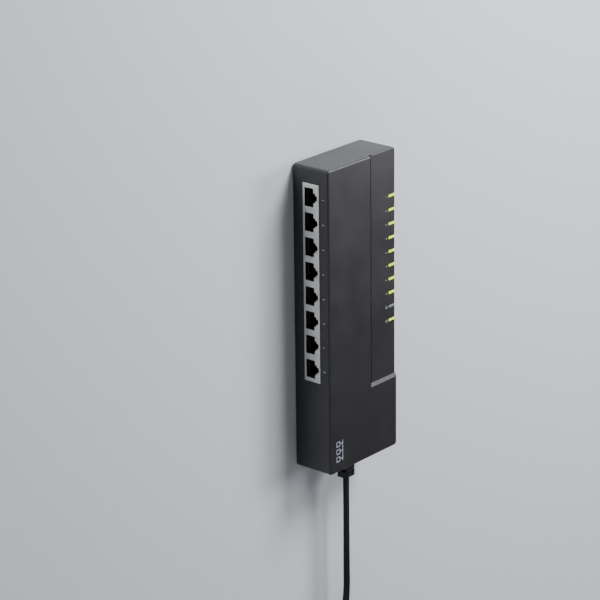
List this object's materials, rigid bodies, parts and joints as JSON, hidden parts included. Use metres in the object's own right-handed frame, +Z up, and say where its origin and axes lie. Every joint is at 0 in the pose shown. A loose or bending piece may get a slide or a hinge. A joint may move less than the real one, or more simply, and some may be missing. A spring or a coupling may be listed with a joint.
{
  "type": "network switch",
  "caption": "Slim bar-shaped network switch with a row of sockets along one side, front indicator windows, rear magnets and a built-in mains supply with its cord.",
  "frame": {"origin": "centre of the flat rear face that touches the panel", "axes": "+Z up along the long axis, -Y towards the front face, +Y into the panel, -X towards the sockets"},
  "size_m": [0.0673, 0.028, 0.5295],
  "materials": {
    "case": "fine matte texture",
    "clear_guide": "frosted clear moulding",
    "magnet": "plated, dull",
    "steel": "plated",
    "label": "satin silver film, blank",
    "screw": "black zinc",
    "shield": "bright tin plate",
    "black_moulding": "moulded",
    "gold": "gold plated",
    "circuit_board": "green solder mask",
    "supply_board": "tan laminate",
    "grey_pad": "soft",
    "aluminium": "extruded",
    "capacitor_can": "shrink sleeve",
    "lamp": "lit",
    "insulation": "translucent film",
    "fuse_glass": "glass and caps",
    "yellow_box": "boxed",
    "copper": "enamelled wire",
    "transformer": "tape-wound",
    "lead_insulation": "insulated wire",
    "cord_jacket": "smooth jacket",
    "tie": "strap",
    "brass": "nickel-plated brass"
  },
  "bodies": {
    "root": {"front_cover": "case", "rear_cover": "case", "light_guide": "clear_guide", "magnets": "magnet", "magnet_yokes": "steel", "rating_label": "label", "case_screws": "screw", "board_screws": "screw", "jack_shield": "shield", "jack_housing": "black_moulding", "jack_contacts": "gold", "main_board": "circuit_board", "lan_transformers": "black_moulding", "switch_chip": "black_moulding", "thermal_pad": "grey_pad", "chip_heatsink": "aluminium", "clock_crystal": "steel", "memory_chip": "black_moulding", "power_inductor": "black_moulding", "board_capacitors": "capacitor_can", "indicator_leds": "lamp", "power_board": "supply_board", "insulating_sheet": "insulation", "fuse": "fuse_glass", "x_capacitor": "yellow_box", "line_filter_choke": "copper", "bridge_rectifier": "black_moulding", "bulk_capacitor": "capacitor_can", "power_transformer": "transformer", "output_capacitors": "capacitor_can", "diode_heatsink": "aluminium", "dc_jumpers": "steel", "ac_leads": "lead_insulation", "cord_gland": "cord_jacket", "power_cord": "cord_jacket", "cord_hank": "cord_jacket", "cord_tie": "tie", "cord_tail": "cord_jacket", "plug_body": "cord_jacket", "plug_blades": "brass"}
  },
  "joints": []
}
